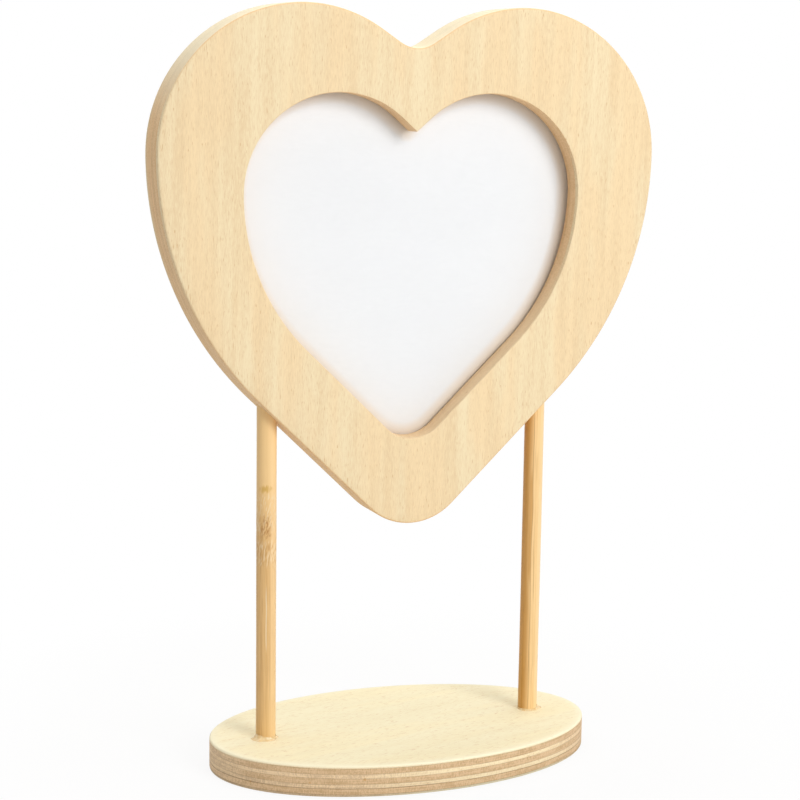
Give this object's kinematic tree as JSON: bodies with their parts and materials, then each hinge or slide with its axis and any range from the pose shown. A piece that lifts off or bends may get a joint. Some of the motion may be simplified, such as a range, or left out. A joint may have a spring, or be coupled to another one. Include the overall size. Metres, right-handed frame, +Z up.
{
  "type": "heart shaped photo frame",
  "caption": "Heart-shaped plywood photo frame with a heart-shaped window, raised on bamboo rods above an oval plywood foot; the picture loads from the back under turn buttons.",
  "frame": {"origin": "middle of the oval foot's underside, on the surface it stands on", "axes": "+Z up along the rods, +X to the right seen from the front, front of the picture towards -Y"},
  "size_m": [0.1308, 0.062, 0.191],
  "materials": {
    "face_veneer": "bare sanded veneer, fine long grain",
    "cross_veneer": "bare cross-laid veneer, end grain at the edges",
    "bamboo": "turned bamboo, lengthwise fibres",
    "dried_glue": "dried clear glue",
    "clear_sheet": "clear cast sheet",
    "photo_paper": "plain white card",
    "grey_board": "plain grey board",
    "fibre_board": "smooth hardboard",
    "plated_steel": "bright zinc plating"
  },
  "bodies": {
    "frame": {"heart_front_face_ply": "face_veneer", "heart_front_core_ply": "cross_veneer", "heart_front_inner_ply": "face_veneer", "heart_rear_inner_ply": "face_veneer", "heart_rear_core_ply": "cross_veneer", "heart_rear_face_ply": "face_veneer", "base_top_veneer": "face_veneer", "base_ply_6": "cross_veneer", "base_ply_5": "face_veneer", "base_ply_4": "cross_veneer", "base_ply_3": "face_veneer", "base_ply_2": "cross_veneer", "base_bottom_veneer": "face_veneer", "bamboo_rod_left": "bamboo", "glue_bead_left": "dried_glue", "bamboo_rod_right": "bamboo", "glue_bead_right": "dried_glue", "clear_pane": "clear_sheet", "photo_card": "photo_paper", "packing_card": "grey_board", "backing_board": "fibre_board", "turn_button_screws": "plated_steel"},
    "turn_button_upper_left": {"turn_button_upper_left": "plated_steel"},
    "turn_button_upper_right": {"turn_button_upper_right": "plated_steel"},
    "turn_button_lower_left": {"turn_button_lower_left": "plated_steel"},
    "turn_button_lower_right": {"turn_button_lower_right": "plated_steel"}
  },
  "joints": [
    {"name": "turn_upper_left", "type": "hinge", "parent": "frame", "child": "turn_button_upper_left", "pos_m": [-0.04258, 0.0065, 0.17055], "axis": [0, 1, 0], "continuous": true},
    {"name": "turn_upper_right", "type": "hinge", "parent": "frame", "child": "turn_button_upper_right", "pos_m": [0.04258, 0.0065, 0.17055], "axis": [0, 1, 0], "continuous": true},
    {"name": "turn_lower_left", "type": "hinge", "parent": "frame", "child": "turn_button_lower_left", "pos_m": [-0.02416, 0.0065, 0.09029], "axis": [0, 1, 0], "continuous": true},
    {"name": "turn_lower_right", "type": "hinge", "parent": "frame", "child": "turn_button_lower_right", "pos_m": [0.02416, 0.0065, 0.09029], "axis": [0, 1, 0], "continuous": true}
  ]
}
